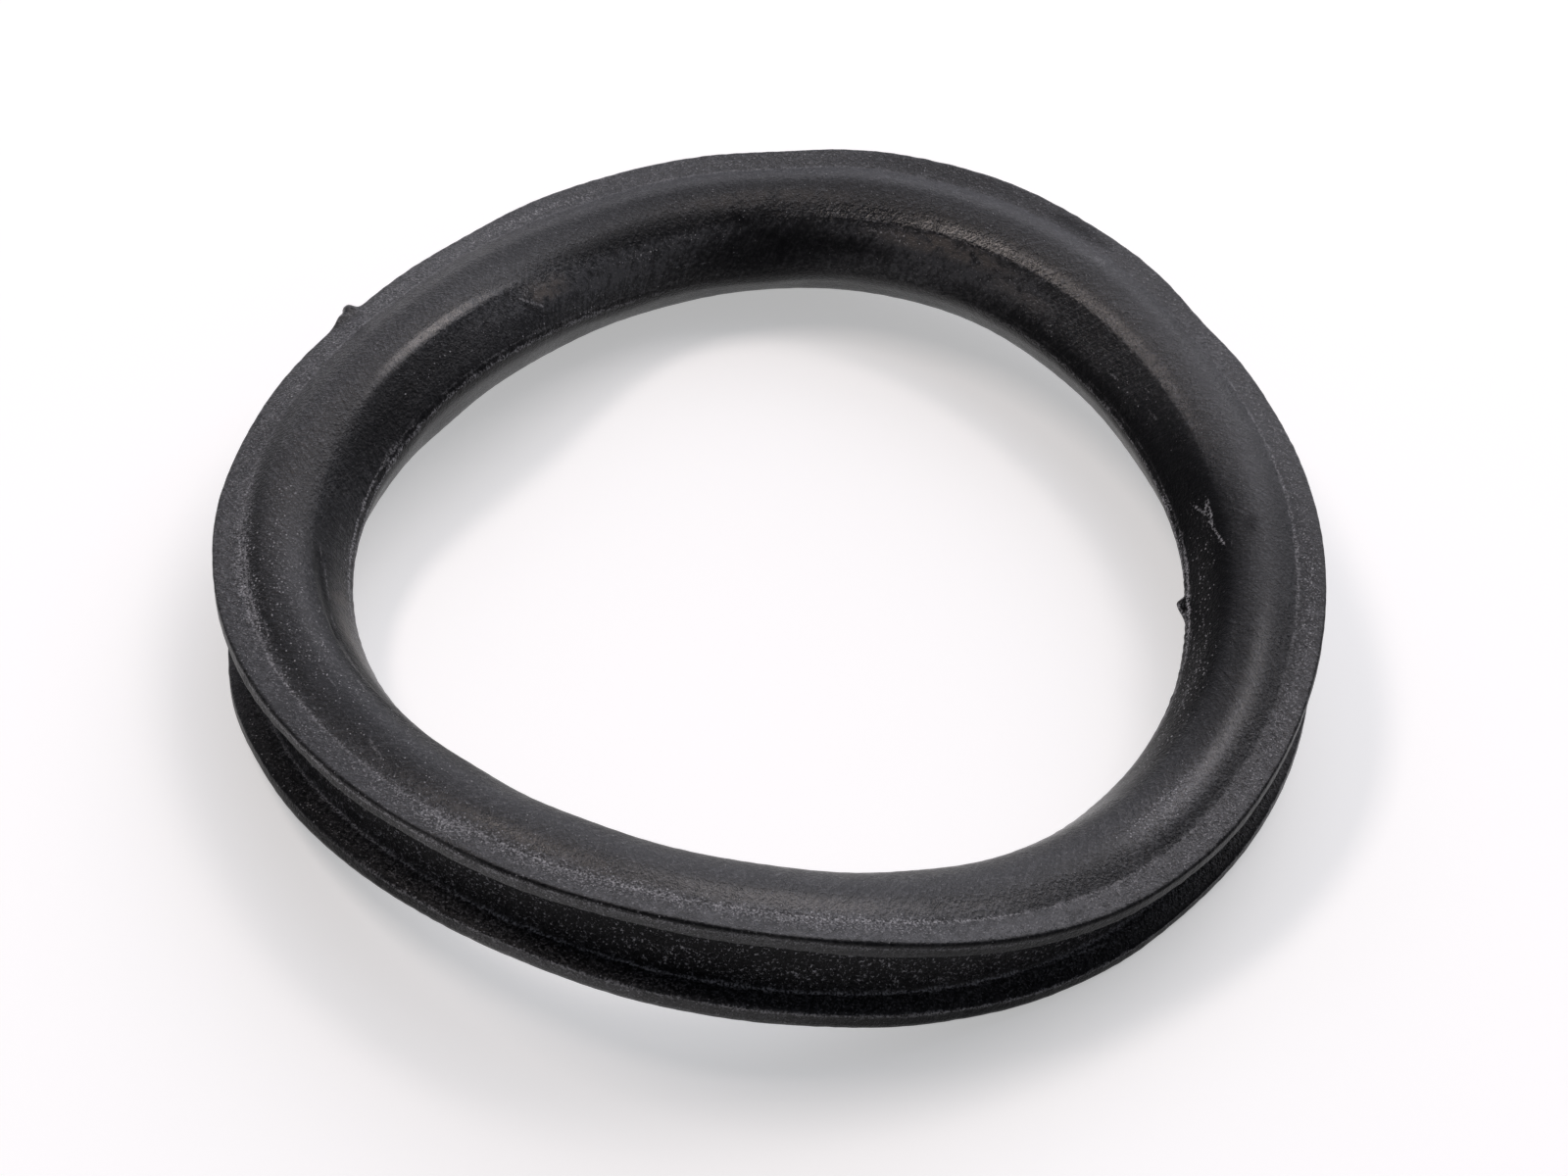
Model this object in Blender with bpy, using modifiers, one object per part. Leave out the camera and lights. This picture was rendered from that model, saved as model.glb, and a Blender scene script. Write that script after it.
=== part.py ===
"""Fuel cap seal: one moulded rubber ring, a little bent, with a round bead on each face and a groove round it."""

import math

import bpy
import numpy as np
from mathutils import Vector

# Section of the ring, in metres. Insets run inwards from the upper lip's edge, heights up from mid height.
UPPER_LIP_RADIUS = 0.0300
LOWER_LIP_SETBACK = 0.00023
HEIGHT_OVER_LANDS = 0.00643
UPPER_LIP_THICKNESS = 0.00101
LOWER_LIP_THICKNESS = 0.00105
EDGE_ROUND = 0.00016
GROOVE_DEPTH = 0.00179
LAND_WIDTH = 0.00156
CREST_FROM_LAND = 0.00130
BEAD_RISE = 0.00040
SHOULDER_FROM_CREST = 0.00207
SHOULDER_DROP = 0.00038
BROW_FROM_SHOULDER = 0.00057
BROW_DROP = 0.00038
BELLY_FROM_BROW = 0.00116
BELLY_HEIGHT = 0.00129
NOSE_FROM_BELLY = 0.00059

# How the ring is bent: waves round it, each as (count, size, direction in degrees of one of its peaks).
OUT_OF_ROUND = ((2, 0.00122, 65.3), (3, 0.00062, 91.5), (4, 0.00043, 2.4), (5, 0.00018, 42.1))
WARP = ((2, 0.00070, 65.0), (3, 0.00094, 24.0), (4, 0.00058, 72.8), (5, 0.00017, 1.8))
ROLL_DEGREES = ((1, 6.1, -25.2), (2, 6.2, 76.2), (3, 3.6, -9.9), (4, 2.7, 8.8), (5, 1.9, -7.4))
MEAN_ROLL_DEGREES = -3.3
ROLL_CENTRE_INSET = 0.0040

# Dents in the upper lip's edge, each as (direction in degrees, half width in degrees, depth).
LIP_DENTS = ((45.0, 5.0, 0.00025), (97.0, 6.0, 0.00025))

SEGMENTS = 96
ROUND_STEPS = 2
BEAD_STEPS = 3

RUBBER_COLOUR = (0.016, 0.017, 0.019, 1.0)
RUBBER_ROUGHNESS = 0.42


def clear_scene():
    for item in list(bpy.data.objects):
        bpy.data.objects.remove(item, do_unlink=True)


def rubber_material():
    material = bpy.data.materials.new("black_rubber")
    material.use_nodes = True
    shader = material.node_tree.nodes["Principled BSDF"]
    shader.inputs["Base Color"].default_value = RUBBER_COLOUR
    shader.inputs["Roughness"].default_value = RUBBER_ROUGHNESS
    shader.inputs["Metallic"].default_value = 0.0
    return material


def rounded(before, corner, after):
    """Points of a quarter circle that takes the edge off a square corner."""
    into = (before - corner) / np.linalg.norm(before - corner)
    out = (after - corner) / np.linalg.norm(after - corner)
    centre = corner + EDGE_ROUND * (into + out)
    turns = [0.5 * math.pi * step / ROUND_STEPS for step in range(ROUND_STEPS + 1)]
    return [centre - EDGE_ROUND * (out * math.cos(turn) + into * math.sin(turn)) for turn in turns]


def smooth_curve(knots):
    """Points of a smooth curve through the knots, whose slope at each is weighed by its two chords."""
    chords = np.diff(knots, axis=0)
    lengths = np.linalg.norm(chords, axis=1)[:, None]
    slopes = chords / lengths
    inner = (slopes[:-1] * lengths[1:] + slopes[1:] * lengths[:-1]) / (lengths[:-1] + lengths[1:])
    tangents = np.vstack([slopes[:1], inner, slopes[-1:]])
    points = []
    for index, length in enumerate(lengths):
        start, end = knots[index], knots[index + 1]
        for step in range(BEAD_STEPS):
            t = step / BEAD_STEPS
            ease = t * t * (3.0 - 2.0 * t)
            leaving = t * (1.0 - t) ** 2
            arriving = t * t * (t - 1.0)
            pull = length * (leaving * tangents[index] + arriving * tangents[index + 1])
            points.append(start * (1.0 - ease) + end * ease + pull)
    points.append(knots[-1])
    return points


def section_outline():
    """Closed outline as (inset, height): down the outside, in under the ring, up the bore and back over the top."""
    land = 0.5 * HEIGHT_OVER_LANDS
    upper_under = land - UPPER_LIP_THICKNESS
    lower_over = LOWER_LIP_THICKNESS - land
    land_end = np.array([LAND_WIDTH, land])
    crest = land_end + (CREST_FROM_LAND, BEAD_RISE)
    shoulder = crest + (SHOULDER_FROM_CREST, -SHOULDER_DROP)
    brow = shoulder + (BROW_FROM_SHOULDER, -BROW_DROP)
    belly = np.array([brow[0] + BELLY_FROM_BROW, BELLY_HEIGHT])
    nose = np.array([belly[0] + NOSE_FROM_BELLY, 0.0])

    outside = np.array([
        (0.0, land), (0.0, upper_under), (GROOVE_DEPTH, upper_under),
        (GROOVE_DEPTH, lower_over), (LOWER_LIP_SETBACK, lower_over), (LOWER_LIP_SETBACK, -land),
    ])
    upper_side = np.array([nose, belly, brow, shoulder, crest, land_end])
    lower_side = upper_side[::-1] * (1.0, -1.0)

    points = rounded(land_end, outside[0], outside[1])
    points += rounded(outside[0], outside[1], outside[2])
    points += [outside[2], outside[3]]
    points += rounded(outside[3], outside[4], outside[5])
    points += rounded(outside[4], outside[5], lower_side[0])
    points += smooth_curve(np.vstack([lower_side, upper_side[1:]]))
    return np.array(points)


def turned_ring(outline):
    """Turns the outline round the Z axis with a Screw modifier and returns the ring's mesh."""
    count = len(outline)
    mesh = bpy.data.meshes.new("seal_section")
    places = [(UPPER_LIP_RADIUS - inset, 0.0, height) for inset, height in outline]
    mesh.from_pydata(places, [(i, (i + 1) % count) for i in range(count)], [])
    section = bpy.data.objects.new("seal_section", mesh)
    bpy.context.scene.collection.objects.link(section)
    screw = section.modifiers.new("turn", "SCREW")
    screw.angle = math.tau
    screw.steps = SEGMENTS
    screw.render_steps = SEGMENTS
    screw.use_merge_vertices = True
    screw.merge_threshold = 0.000001
    evaluated = section.evaluated_get(bpy.context.evaluated_depsgraph_get())
    ring = bpy.data.meshes.new_from_object(evaluated)
    bpy.data.objects.remove(section, do_unlink=True)
    return ring


def waves(terms, angle):
    """Sum of cosine waves round the ring at each angle."""
    return sum(size * np.cos(count * (angle - math.radians(peak))) for count, size, peak in terms)


def bent(points):
    """Moves each point of the true ring to its place on the bent one: rolled, pushed out of round and warped."""
    radius = np.hypot(points[:, 0], points[:, 1])
    angle = np.arctan2(points[:, 1], points[:, 0])
    roll_centre = UPPER_LIP_RADIUS - ROLL_CENTRE_INSET
    lip_share = np.where(points[:, 2] > 0.0, np.clip((radius - roll_centre) / ROLL_CENTRE_INSET, 0.0, None), 0.0)
    for direction, half_width, depth in LIP_DENTS:
        away = np.degrees(np.angle(np.exp(1j * (angle - math.radians(direction)))))
        radius = radius - depth * lip_share * np.exp(-((away / half_width) ** 2))

    roll = np.radians(MEAN_ROLL_DEGREES + waves(ROLL_DEGREES, angle))
    outward = radius - roll_centre
    height = points[:, 2]
    radius = roll_centre + waves(OUT_OF_ROUND, angle) + outward * np.cos(roll) - height * np.sin(roll)
    height = waves(WARP, angle) + outward * np.sin(roll) + height * np.cos(roll)
    return np.column_stack([radius * np.cos(angle), radius * np.sin(angle), height])


def plane_under(feet):
    """Slopes and height of the plane through three points, as height = a x + b y + c."""
    return np.linalg.solve(np.column_stack([feet[:, :2], np.ones(3)]), feet[:, 2])


def holds(feet, centre):
    """True when the centre lies inside the triangle of the three feet, seen from above."""
    sides = [np.cross(feet[(i + 1) % 3, :2] - feet[i, :2], centre - feet[i, :2]) for i in range(3)]
    return all(side >= 0.0 for side in sides) or all(side <= 0.0 for side in sides)


def laid_down(points):
    """Tips the ring on to the three points that carry it, and sets its origin at the middle of its foot."""
    centre = points.mean(axis=0)[:2]
    sector = (np.degrees(np.arctan2(points[:, 1], points[:, 0])) // 120.0).astype(int)
    feet = np.array([min(points[sector == third], key=lambda point: point[2]) for third in sorted(set(sector))[:3]])
    while True:
        slope_x, slope_y, level = plane_under(feet)
        gaps = points[:, 2] - (slope_x * points[:, 0] + slope_y * points[:, 1] + level)
        if gaps.min() > -1.0e-9:
            break
        lowest = points[gaps.argmin()]
        trials = [np.vstack([np.delete(feet, i, axis=0), lowest]) for i in range(3)]
        feet = next(trial for trial in trials if holds(trial, centre))
    upright = Vector((-slope_x, -slope_y, 1.0)).rotation_difference(Vector((0.0, 0.0, 1.0))).to_matrix()
    points = points @ np.array(upright).T
    low, high = points.min(axis=0), points.max(axis=0)
    return points - (0.5 * (low[0] + high[0]), 0.5 * (low[1] + high[1]), low[2])


def build_seal():
    ring = turned_ring(section_outline())
    places = np.empty(len(ring.vertices) * 3)
    ring.vertices.foreach_get("co", places)
    ring.vertices.foreach_set("co", laid_down(bent(places.reshape(-1, 3))).ravel())
    ring.update()
    ring.name = "seal_ring"
    ring.shade_smooth()
    ring.set_sharp_from_angle(angle=math.radians(40.0))
    ring.materials.append(rubber_material())

    seal = bpy.data.objects.new("seal_ring", ring)
    collection = bpy.data.collections.new("fuel_cap_seal")
    bpy.context.scene.collection.children.link(collection)
    collection.objects.link(seal)


clear_scene()
build_seal()
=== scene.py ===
import math

import bpy
import numpy as np
from mathutils import Matrix, Vector


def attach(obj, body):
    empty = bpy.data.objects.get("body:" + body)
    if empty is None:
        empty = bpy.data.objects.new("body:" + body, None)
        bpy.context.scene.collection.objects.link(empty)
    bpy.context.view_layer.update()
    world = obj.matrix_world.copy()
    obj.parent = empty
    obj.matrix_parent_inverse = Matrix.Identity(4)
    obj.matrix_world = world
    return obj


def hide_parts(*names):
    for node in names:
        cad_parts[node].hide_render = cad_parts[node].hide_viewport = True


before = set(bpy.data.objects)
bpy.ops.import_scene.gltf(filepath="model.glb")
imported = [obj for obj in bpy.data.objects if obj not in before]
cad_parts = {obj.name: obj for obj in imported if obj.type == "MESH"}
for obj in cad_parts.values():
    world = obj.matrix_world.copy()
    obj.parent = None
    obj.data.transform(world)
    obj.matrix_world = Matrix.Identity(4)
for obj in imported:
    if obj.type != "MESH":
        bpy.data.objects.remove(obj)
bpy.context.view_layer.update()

mm = 0.001
fullTurn = 2.0 * math.pi


# camera and stage

view = {
    "lookAt": (0.00082, -0.00106, 0.0045),
    "distance": 0.30837,
    "azimuth": 0.034,
    "elevation": 46.955,
    "roll": 9.227,
    "lens": 130.17,
    "sensor": 36.0,
    "nearest": 0.01,
}

stage = {
    "floorSize": 3.0,
    "floorColour": (0.72, 0.72, 0.72),
    "floorRoughness": 0.9,
    "floorGlow": 0.42,        # what the floor shows beyond the light of the lamps, where 1 is white
    "roomColour": (0.84, 0.87, 1.0),
    "roomFront": 0.08,        # the room is dark on the camera's side and paler behind the ring
    "roomBack": 0.42,
    "roomTurn": 0.7,          # how far forward and back it goes on changing, where 1 is straight ahead
}

# each lamp faces the ring: direction and height in degrees, distance and size in metres,
# brightness of its face, colour; direction 0 is straight behind the ring, 90 is to the right
lamps = {
    "leftStrip": {
        "toward": (-78.0, 60.0), "away": 0.9, "size": (0.40, 0.157),
        "level": 11.5, "colour": (1.0, 0.88, 0.83),
    },
    "rightStrip": {
        "toward": (32.0, 60.0), "away": 0.9, "size": (0.52, 0.15),
        "level": 5.0, "colour": (1.0, 0.88, 0.83),
    },
    "backBox": {
        "toward": (23.0, 47.0), "away": 1.0, "size": (0.98, 1.27),
        "level": 1.0, "colour": (0.96, 0.95, 1.0),
    },
    "backWall": {
        "toward": (-5.0, 24.0), "away": 1.2, "size": (1.30, 1.07),
        "level": 0.77, "colour": (0.92, 0.90, 1.0),
    },
}


def aimed(direction, height):
    # unit vector toward a direction round the ring and a height above the floor, both in degrees
    around, up = math.radians(direction), math.radians(height)
    return Vector((math.sin(around) * math.cos(up), math.cos(around) * math.cos(up), math.sin(up)))


def makeCamera():
    # position is the looked-at point pushed back along the view direction
    forward = aimed(view["azimuth"], -view["elevation"])
    level = forward.to_track_quat("-Z", "Y").to_matrix().to_4x4()
    camera = bpy.data.objects.new("camera", bpy.data.cameras.new("camera"))
    camera.data.lens = view["lens"]
    camera.data.sensor_width = view["sensor"]
    camera.data.clip_start = view["nearest"]
    place = Matrix.Translation(Vector(view["lookAt"]) - view["distance"] * forward)
    camera.matrix_world = place @ level @ Matrix.Rotation(math.radians(view["roll"]), 4, "Z")
    bpy.context.scene.collection.objects.link(camera)
    bpy.context.scene.camera = camera


def makeLamps():
    for name, lamp in lamps.items():
        light = bpy.data.lights.new(name, "AREA")
        light.shape = "RECTANGLE"
        light.size, light.size_y = lamp["size"]
        # watts that give the face its brightness: pi times the level times the area
        light.energy = lamp["level"] * math.pi * light.size * light.size_y
        light.color = lamp["colour"]
        toward = aimed(*lamp["toward"])
        holder = bpy.data.objects.new(name, light)
        holder.location = lamp["away"] * toward
        holder.rotation_euler = (-toward).to_track_quat("-Z", "Y").to_euler()
        bpy.context.scene.collection.objects.link(holder)


# shader building: every helper puts its nodes into the tree and returns the last one's output

def add(tree, kind, **settings):
    node = tree.nodes.new("ShaderNode" + kind)
    for name, value in settings.items():
        setattr(node, name, value)
    return node


def feed(tree, socket, value):
    # a link where the value is an output, else a constant on the socket
    if isinstance(value, bpy.types.NodeSocket):
        tree.links.new(value, socket)
    else:
        socket.default_value = value


def maths(tree, how, a, b=0.0, clamped=False):
    node = add(tree, "Math", operation=how, use_clamp=clamped)
    feed(tree, node.inputs[0], a)
    feed(tree, node.inputs[1], b)
    return node.outputs[0]


def times(tree, a, b):
    return maths(tree, "MULTIPLY", a, b)


def most(tree, *values):
    # the largest of the values
    largest = values[0]
    for value in values[1:]:
        largest = maths(tree, "MAXIMUM", largest, value)
    return largest


def plus(tree, total, patterns, shares):
    # total + share * pattern, for each pattern that has a share
    for name, share in shares.items():
        total = maths(tree, "ADD", total, times(tree, patterns[name], share))
    return total


def ramp(tree, value, low, high, toLow=0.0, toHigh=1.0):
    # smooth step of the value from low to high
    node = add(tree, "MapRange", interpolation_type="SMOOTHSTEP")
    for socket, number in zip(node.inputs[:5], (value, low, high, toLow, toHigh)):
        feed(tree, socket, number)
    return node.outputs["Result"]


def blend(tree, share, a, b):
    node = add(tree, "Mix", data_type="RGBA")
    feed(tree, node.inputs["Factor"], share)
    feed(tree, node.inputs["A"], a)
    feed(tree, node.inputs["B"], b)
    return node.outputs["Result"]


def attribute(tree, name, output="Fac"):
    return add(tree, "Attribute", attribute_name=name).outputs[output]


def noise(tree, vector, scale, detail, roughness, fourth=None):
    node = add(tree, "TexNoise", noise_dimensions="3D" if fourth is None else "4D")
    feed(tree, node.inputs["Vector"], vector)
    if fourth is not None:
        feed(tree, node.inputs["W"], fourth)
    node.inputs["Scale"].default_value = scale
    node.inputs["Detail"].default_value = detail
    node.inputs["Roughness"].default_value = roughness
    return node.outputs["Fac"]


def seenRays(tree):
    # 1 for camera, glossy and transmission rays, 0 for the others
    path = add(tree, "LightPath")
    return most(tree, *(path.outputs[f"Is {kind} Ray"] for kind in ("Camera", "Glossy", "Transmission")))


def makeWorld():
    world = bpy.data.worlds.new("studio")
    bpy.context.scene.world = world
    world.use_nodes = True
    tree = world.node_tree
    room = tree.nodes["Background"]
    room.inputs["Color"].default_value = (*stage["roomColour"], 1.0)
    toward = add(tree, "SeparateXYZ")
    tree.links.new(add(tree, "TexCoord").outputs["Generated"], toward.inputs[0])
    turn = stage["roomTurn"]
    strength = ramp(tree, toward.outputs["Y"], -turn, turn, stage["roomFront"], stage["roomBack"])
    tree.links.new(strength, room.inputs["Strength"])


def makeFloor():
    half = 0.5 * stage["floorSize"]
    corners = [(-half, -half, 0.0), (half, -half, 0.0), (half, half, 0.0), (-half, half, 0.0)]
    mesh = bpy.data.meshes.new("floor")
    mesh.from_pydata(corners, [], [(0, 1, 2, 3)])
    floor = bpy.data.objects.new("floor", mesh)
    bpy.context.scene.collection.objects.link(floor)
    material = bpy.data.materials.new("paleFloor")
    material.use_nodes = True
    tree = material.node_tree
    paint = tree.nodes["Principled BSDF"]
    paint.inputs["Base Color"].default_value = (*stage["floorColour"], 1.0)
    paint.inputs["Roughness"].default_value = stage["floorRoughness"]
    paint.inputs["Specular IOR Level"].default_value = 0.0
    # the glow shows where the floor is seen or mirrored, and adds no other light to the ring
    glow = add(tree, "Emission")
    glow.inputs["Strength"].default_value = stage["floorGlow"]
    seen = add(tree, "MixShader")
    tree.links.new(seenRays(tree), seen.inputs["Fac"])
    tree.links.new(glow.outputs[0], seen.inputs[2])
    both = add(tree, "AddShader")
    tree.links.new(paint.outputs[0], both.inputs[0])
    tree.links.new(seen.outputs[0], both.inputs[1])
    tree.links.new(both.outputs[0], tree.nodes["Material Output"].inputs["Surface"])
    mesh.materials.append(material)


# the ring: a closed section carried round a bent circle
# places on it are a direction in degrees, and millimetres across from the upper land's inner edge:
# plus runs outwards over the land, down the outside and under, minus inwards over the bead to the nose

# section in millimetres: insets run inwards from the upper lip's edge, heights up from mid height
section = {
    "lipRadius": 30.0,
    "lowerSetback": 0.23,
    "overLands": 6.43,
    "upperLip": 1.01,
    "lowerLip": 1.05,
    "lipRound": 0.17,
    "grooveDepth": 1.79,
    "grooveRound": 0.18,
    "landWidth": 1.56,
    "crestFromLand": 1.30,
    "beadRise": 0.40,
    "shoulderFromCrest": 2.07,
    "shoulderDrop": 0.38,
    "browFromShoulder": 0.57,
    "browDrop": 0.38,
    "bellyFromBrow": 1.16,
    "bellyHeight": 1.29,
    "noseFromBelly": 0.59,
}

# grid of the ring's surface
grid = {
    "around": 960,
    "across": 103,
    "curveSteps": 60,      # points between two knots of the bore's curve
    "cornerSteps": 16,     # points round a corner
    "alongSteps": 6000,    # points along the section that the rows are spread over
    # the rows crowd round these places across, given with reach and weight
    "crowded": (
        (-4.05, 0.22, 5.0), (-7.3, 0.5, 2.0), (0.0, 0.12, 6.0), (1.5, 0.16, 9.0), (2.5, 0.16, 7.0),
        (4.2, 0.3, 1.5), (8.55, 0.18, 5.0), (10.1, 0.16, 9.0), (11.1, 0.16, 6.0), (-2.0, 2.6, 0.9),
    ),
}


def bell(x):
    # e to the minus x squared
    return np.exp(-(x ** 2))


def flatBell(x):
    # bell with a flat top: e to the minus x to the fourth
    return np.exp(-(x ** 4))


def roundedCorner(before, corner, after, radius, steps):
    # arc that touches both sides of the corner: its centre is on the bisector, and it is swept from one
    # touching point to the other
    into = (before - corner) / np.linalg.norm(before - corner)
    out = (after - corner) / np.linalg.norm(after - corner)
    half = 0.5 * np.arccos(np.clip(into @ out, -1.0, 1.0))
    middle = (into + out) / np.linalg.norm(into + out)
    centre = corner + middle * radius / np.sin(half)
    start = corner + into * radius / np.tan(half) - centre
    end = corner + out * radius / np.tan(half) - centre
    sweep = np.pi - 2.0 * half
    t = np.linspace(0.0, 1.0, steps + 1)[:, None]
    return centre + (start * np.sin((1.0 - t) * sweep) + end * np.sin(t * sweep)) / np.sin(sweep)


def smoothCurve(knots, steps):
    # cubic between each pair of knots; the slope at a knot is its two chords' directions, each weighed by
    # the other's length
    chords = np.diff(knots, axis=0)
    lengths = np.linalg.norm(chords, axis=1)[:, None]
    slopes = chords / lengths
    inner = (slopes[:-1] * lengths[1:] + slopes[1:] * lengths[:-1]) / (lengths[:-1] + lengths[1:])
    tangents = np.vstack([slopes[:1], inner, slopes[-1:]])
    pieces = []
    for i, length in enumerate(lengths):
        t = np.linspace(0.0, 1.0, steps, endpoint=False)[:, None]
        ease = t * t * (3.0 - 2.0 * t)
        pull = length * (t * (1.0 - t) ** 2 * tangents[i] + t * t * (t - 1.0) * tangents[i + 1])
        pieces.append(knots[i] * (1.0 - ease) + knots[i + 1] * ease + pull)
    return np.vstack(pieces + [knots[-1:]])


def denseSection():
    # points (inset, height) up the bore from the lower land, over the top, down the outside and under,
    # and how far across each is
    s = section
    land = 0.5 * s["overLands"]
    upperUnder, lowerOver = land - s["upperLip"], s["lowerLip"] - land
    landEnd = np.array([s["landWidth"], land])
    crest = landEnd + (s["crestFromLand"], s["beadRise"])
    shoulder = crest + (s["shoulderFromCrest"], -s["shoulderDrop"])
    brow = shoulder + (s["browFromShoulder"], -s["browDrop"])
    belly = np.array([brow[0] + s["bellyFromBrow"], s["bellyHeight"]])
    nose = np.array([belly[0] + s["noseFromBelly"], 0.0])
    upperSide = np.array([nose, belly, brow, shoulder, crest, landEnd])
    lowerSide = upperSide[::-1] * (1.0, -1.0)
    bore = smoothCurve(np.vstack([lowerSide, upperSide[1:]]), grid["curveSteps"])
    corners = np.array([
        landEnd, (0.0, land), (0.0, upperUnder), (s["grooveDepth"], upperUnder),
        (s["grooveDepth"], lowerOver), (s["lowerSetback"], lowerOver),
        (s["lowerSetback"], -land), lowerSide[0],
    ])
    lipRounds, grooveRounds = [s["lipRound"]] * 2, [s["grooveRound"]] * 2
    rounds = lipRounds + grooveRounds + lipRounds
    arcs = [
        roundedCorner(*corners[i:i + 3], radius, grid["cornerSteps"])
        for i, radius in enumerate(rounds)
    ]
    dense = np.vstack([bore] + arcs + [lowerSide[:1]])
    along = np.concatenate([[0.0], np.cumsum(np.linalg.norm(np.diff(dense, axis=0), axis=1))])
    return dense, along - along[len(bore) - 1]


def sectionOutline():
    # the rows of the grid, as (inset, height) and place across: the dense section sampled at equal shares
    # of a crowding that is 1 plus a bell at each crowded place; each dust line then gets a row of its own
    dense, across = denseSection()
    fine = np.linspace(across[0], across[-1], grid["alongSteps"])
    crowd = 1.0 + sum(weight * bell((fine - place) / reach) for place, reach, weight in grid["crowded"])
    share = np.concatenate([[0.0], np.cumsum(0.5 * (crowd[1:] + crowd[:-1]))])
    places = np.interp(np.linspace(0.0, share[-1], grid["across"], endpoint=False), share, fine)
    for line, _ in wear["lines"]:
        places[np.abs(places - line).argmin()] = line
    return np.column_stack([np.interp(places, across, dense[:, k]) for k in (0, 1)]), places


# how the ring is bent: waves round it, each as (count, size in millimetres or degrees, a peak's direction)
bends = {
    "outOfRound": ((2, 1.22, 65.3), (3, 0.62, 91.5), (4, 0.43, 2.4), (5, 0.18, 42.1)),
    "warp": ((2, 0.70, 65.0), (3, 0.94, 24.0), (4, 0.58, 72.8), (5, 0.17, 1.8)),
    "roll": ((1, 6.1, -25.2), (2, 6.2, 76.2), (3, 3.6, -9.9), (4, 2.7, 8.8), (5, 1.9, -7.4)),
    "meanRoll": -3.3,
    "rollCentreInset": 4.0,
    "lipDents": ((45.0, 5.0, 0.25), (97.0, 6.0, 0.25)),   # direction and half width in degrees, depth
    "restGap": 1e-7,       # how far the resting ring may reach under its feet, in millimetres
}
rollCentre = section["lipRadius"] - bends["rollCentreInset"]


def ringPoints(radius, angle, height):
    # (radius * cos(angle), radius * sin(angle), height)
    return np.stack(np.broadcast_arrays(radius * np.cos(angle), radius * np.sin(angle), height), axis=-1)


def waves(terms, angle):
    # sum of size * cos(count * (angle - peak))
    return sum(size * np.cos(count * (angle - math.radians(peak))) for count, size, peak in terms)


def away(angle, direction):
    # degrees between an angle and a direction, from -180 to 180
    return np.degrees(np.angle(np.exp(1j * (angle - math.radians(direction)))))


def bent(angle, radius, height):
    # rolls each section about its roll centre, then moves it by the out-of-round and warp waves
    for direction, halfWidth, depth in bends["lipDents"]:
        share = np.clip((radius - rollCentre) / bends["rollCentreInset"], 0.0, None) * (height > 0.0)
        radius = radius - depth * share * bell(away(angle, direction) / halfWidth)
    roll = np.radians(bends["meanRoll"] + waves(bends["roll"], angle))
    outward = radius - rollCentre
    middle, lift = rollCentre + waves(bends["outOfRound"], angle), waves(bends["warp"], angle)
    newRadius = middle + outward * np.cos(roll) - height * np.sin(roll)
    newHeight = lift + outward * np.sin(roll) + height * np.cos(roll)
    return ringPoints(newRadius, angle, newHeight)


def holds(feet, centre):
    # true when the centre lies inside the triangle of the three feet, seen from above
    sides = [np.cross(feet[(i + 1) % 3, :2] - feet[i, :2], centre - feet[i, :2]) for i in range(3)]
    return min(sides) >= 0.0 or max(sides) <= 0.0


def restingMove(points):
    # rotation and shift that stand the bent ring on the three points that carry it, over the origin
    centre = points.mean(axis=0)[:2]
    third = (np.degrees(np.arctan2(points[:, 1], points[:, 0])) // 120.0).astype(int)
    feet = np.array([points[third == k][points[third == k][:, 2].argmin()] for k in np.unique(third)[:3]])
    while True:
        slopeX, slopeY, level = np.linalg.solve(np.column_stack([feet[:, :2], np.ones(3)]), feet[:, 2])
        gap = points[:, 2] - slopeX * points[:, 0] - slopeY * points[:, 1] - level
        if gap.min() > -bends["restGap"]:
            break
        trials = [np.vstack([np.delete(feet, k, axis=0), points[gap.argmin()]]) for k in range(3)]
        feet = next(trial for trial in trials if holds(trial, centre))
    upright = Vector((-slopeX, -slopeY, 1.0)).rotation_difference(Vector((0.0, 0.0, 1.0)))
    turn = np.array(upright.to_matrix())
    moved = points @ turn.T
    low, high = moved.min(axis=0), moved.max(axis=0)
    return turn, np.array([0.5 * (low[0] + high[0]), 0.5 * (low[1] + high[1]), low[2]])


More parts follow.
